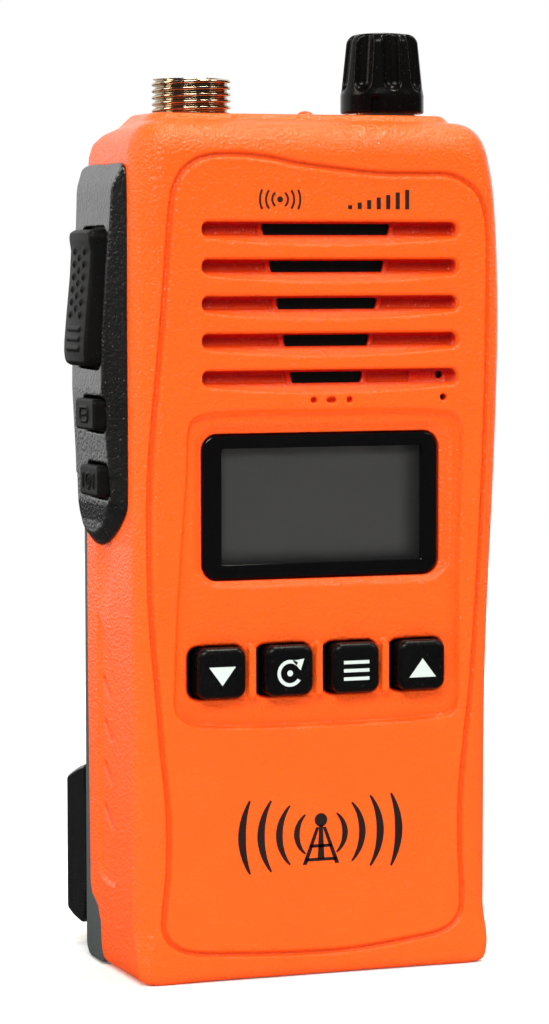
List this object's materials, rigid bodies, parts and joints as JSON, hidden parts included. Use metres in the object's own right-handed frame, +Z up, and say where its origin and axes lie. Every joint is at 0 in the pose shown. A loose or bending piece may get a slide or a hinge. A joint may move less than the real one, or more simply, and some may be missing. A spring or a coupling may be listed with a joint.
{
  "type": "two way radio",
  "caption": "Handheld two way radio with speaker slots, display window, key row, side push-to-talk bar, volume knob, threaded aerial socket, tilting battery pack and belt clip.",
  "frame": {"origin": "centre of the flat base that the radio stands on", "axes": "+Z up through the aerial end, -Y out of the front face with the display, +X to the right seen from the front, away from the push-to-talk bar"},
  "size_m": [0.0599, 0.037, 0.1319],
  "materials": {
    "orange_shell": "spark-eroded fine grain, moulded in orange",
    "black_mesh": "fine woven dust cloth",
    "steel": "zinc-plated steel",
    "speaker_cone": "pressed paper cone with a rubber surround",
    "aluminium": "turned aluminium",
    "black_rubber": "soft matte rubber",
    "display_lens": "glossy window with a black printed border",
    "lcd_glass": "dark grey liquid crystal glass",
    "white_plastic": "white diffusing plastic",
    "key_rubber": "satin silicone key caps with white icons",
    "grey_rubber": "silicone dome mat",
    "circuit_board": "solder-masked fibreglass board",
    "tinplate": "pressed tinplate",
    "cast_alloy": "as-cast alloy",
    "gold_contact": "gold flashed",
    "bezel_plastic": "black plastic with a fine moulded grain",
    "ptt_rubber": "satin black rubber skin",
    "knob_rubber": "satin black soft-touch",
    "nickel": "bright nickel plate",
    "white_insulator": "machined white fluoropolymer",
    "led_lens": "translucent light guide",
    "battery_plastic": "dark grey moulded plastic",
    "cell_wrap": "shrink wrap",
    "clip_plastic": "glossy black moulded plastic",
    "spring_steel": "spring wire"
  },
  "bodies": {
    "radio": {"front_housing": "orange_shell", "speaker_mesh": "black_mesh", "speaker_frame": "steel", "speaker_cone": "speaker_cone", "speaker_magnet": "steel", "microphone": "aluminium", "microphone_boot": "black_rubber", "display_lens": "display_lens", "lcd_panel": "lcd_glass", "lcd_frame": "white_plastic", "backlight": "white_plastic", "keypad_mat": "grey_rubber", "front_board": "circuit_board", "main_board": "circuit_board", "rf_shields": "tinplate", "chassis": "cast_alloy", "chassis_screws": "steel", "bay_contacts": "gold_contact", "side_bezel": "bezel_plastic", "side_board": "circuit_board", "side_switches": "tinplate", "volume_control": "steel", "volume_nut": "nickel", "antenna_connector": "nickel", "antenna_insulator": "white_insulator", "antenna_contact": "gold_contact", "antenna_nut": "nickel", "led_lens": "led_lens", "accessory_jack": "bezel_plastic", "rear_cover": "battery_plastic", "rear_cover_screws": "steel"},
    "key_down": {"key_down": "key_rubber"},
    "key_scan": {"key_scan": "key_rubber"},
    "key_menu": {"key_menu": "key_rubber"},
    "key_up": {"key_up": "key_rubber"},
    "ptt_button": {"ptt_button": "ptt_rubber"},
    "side_button_upper": {"side_button_upper": "ptt_rubber"},
    "side_button_lower": {"side_button_lower": "ptt_rubber"},
    "volume_knob": {"volume_knob": "knob_rubber", "volume_shaft": "aluminium"},
    "jack_cover": {"jack_cover": "black_rubber"},
    "battery": {"battery_case": "battery_plastic", "battery_cover": "battery_plastic", "battery_cells": "cell_wrap", "battery_board": "circuit_board", "battery_terminals": "gold_contact", "charge_contacts": "gold_contact", "clip_bracket": "clip_plastic", "clip_screws": "steel", "clip_pin": "steel", "clip_spring": "spring_steel"},
    "battery_latch": {"battery_latch": "bezel_plastic"},
    "belt_clip": {"belt_clip": "clip_plastic"}
  },
  "joints": [
    {"name": "ptt_press", "type": "slide", "parent": "radio", "child": "ptt_button", "axis": [1, 0, 0], "range_m": [0, 0.001], "stiffness_N_per_m": 1500},
    {"name": "side_upper_press", "type": "slide", "parent": "radio", "child": "side_button_upper", "axis": [1, 0, 0], "range_m": [0, 0.0006], "stiffness_N_per_m": 1800},
    {"name": "side_lower_press", "type": "slide", "parent": "radio", "child": "side_button_lower", "axis": [1, 0, 0], "range_m": [0, 0.0006], "stiffness_N_per_m": 1800},
    {"name": "key_down_press", "type": "slide", "parent": "radio", "child": "key_down", "axis": [0, 1, 0], "range_m": [0, 0.0006], "stiffness_N_per_m": 1800},
    {"name": "key_scan_press", "type": "slide", "parent": "radio", "child": "key_scan", "axis": [0, 1, 0], "range_m": [0, 0.0006], "stiffness_N_per_m": 1800},
    {"name": "key_menu_press", "type": "slide", "parent": "radio", "child": "key_menu", "axis": [0, 1, 0], "range_m": [0, 0.0006], "stiffness_N_per_m": 1800},
    {"name": "key_up_press", "type": "slide", "parent": "radio", "child": "key_up", "axis": [0, 1, 0], "range_m": [0, 0.0006], "stiffness_N_per_m": 1800},
    {"name": "volume_turn", "type": "hinge", "parent": "radio", "child": "volume_knob", "pos_m": [0.0147, 0, 0.12], "axis": [0, 0, 1], "range_deg": [-280, 0]},
    {"name": "jack_cover_swing", "type": "hinge", "parent": "radio", "child": "jack_cover", "pos_m": [0.02765, 0.00725, 0.0945], "axis": [0, 0, 1], "range_deg": [0, 80], "stiffness_Nm_per_rad": 0.01},
    {"name": "battery_tilt", "type": "hinge", "parent": "radio", "child": "battery", "pos_m": [0, 0.0122, 0.0847], "axis": [1, 0, 0], "range_deg": [0, 25]},
    {"name": "battery_latch_slide", "type": "slide", "parent": "battery", "child": "battery_latch", "axis": [0, 1, 0], "range_m": [0, 0.0018], "stiffness_N_per_m": 800},
    {"name": "belt_clip_open", "type": "hinge", "parent": "battery", "child": "belt_clip", "pos_m": [0, 0.0187, 0.074], "axis": [1, 0, 0], "range_deg": [0, 14], "stiffness_Nm_per_rad": 0.6, "springref_deg": -8.59}
  ]
}
